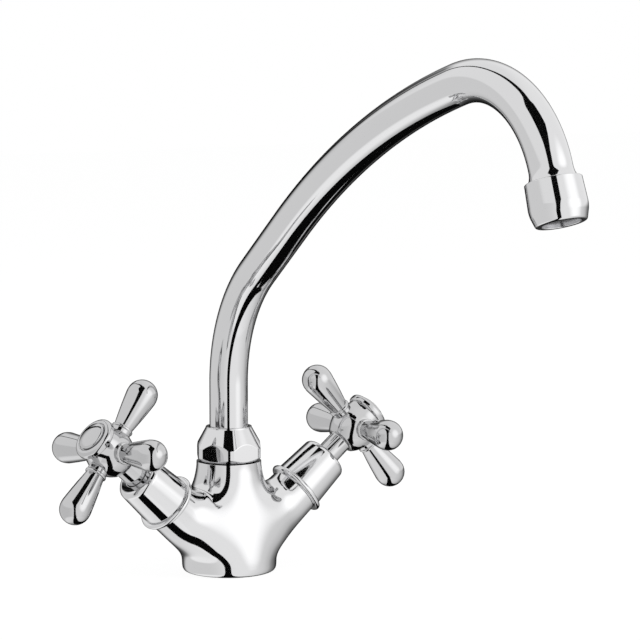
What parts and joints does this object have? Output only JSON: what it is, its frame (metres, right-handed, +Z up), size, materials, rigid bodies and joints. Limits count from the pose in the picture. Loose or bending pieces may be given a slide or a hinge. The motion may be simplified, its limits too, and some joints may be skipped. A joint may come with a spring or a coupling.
{
  "type": "two handle kitchen faucet",
  "caption": "Deck-mounted kitchen mixer tap with a swivelling arched spout, angled hot and cold valve arms, cross handles and a screw-on aerator.",
  "frame": {"origin": "centre of the round foot, on the deck it stands on", "axes": "+Z up from the deck; the spout points to the user along -Y at rest; +X is the cold side, on the right of the user"},
  "size_m": [0.1903, 0.2886, 0.2441],
  "materials": {
    "chrome": "polished",
    "brass": "machined",
    "rubber": "matte",
    "ceramic": "ground",
    "nylon": "satin",
    "steel": "satin"
  },
  "bodies": {
    "mixer_body": {"body": "chrome", "foot_seal": "rubber", "spout_nut": "chrome", "spout_slip_ring": "nylon", "left_valve_body": "brass", "left_seat_seal": "rubber", "left_fixed_disc": "ceramic", "left_trim_ring": "chrome", "left_shroud": "chrome", "right_valve_body": "brass", "right_seat_seal": "rubber", "right_fixed_disc": "ceramic", "right_trim_ring": "chrome", "right_shroud": "chrome"},
    "spout": {"spout_tube": "chrome", "spout_ferrule": "brass", "spout_orings": "rubber", "outlet_bush": "brass", "aerator_housing": "chrome", "aerator_washer": "rubber", "aerator_insert": "nylon", "aerator_screens": "steel"},
    "left_handle": {"left_turning_disc": "ceramic", "left_spindle": "brass", "left_spindle_orings": "rubber", "left_spindle_clip": "steel", "left_cross_handle": "chrome", "left_handle_cap": "chrome", "left_handle_screw": "steel"},
    "right_handle": {"right_turning_disc": "ceramic", "right_spindle": "brass", "right_spindle_orings": "rubber", "right_spindle_clip": "steel", "right_cross_handle": "chrome", "right_handle_cap": "chrome", "right_handle_screw": "steel"}
  },
  "joints": [
    {"name": "spout_swivel", "type": "hinge", "parent": "mixer_body", "child": "spout", "pos_m": [0, 0, 0.05], "axis": [0, 0, 1], "continuous": true},
    {"name": "hot_valve_turn", "type": "hinge", "parent": "mixer_body", "child": "left_handle", "pos_m": [0, 0, 0.0052], "axis": [-0.7582, -0.0583, 0.6494], "range_deg": [0, 90]},
    {"name": "cold_valve_turn", "type": "hinge", "parent": "mixer_body", "child": "right_handle", "pos_m": [0, 0, 0.0052], "axis": [0.7582, -0.0583, 0.6494], "range_deg": [-90, 0]}
  ]
}
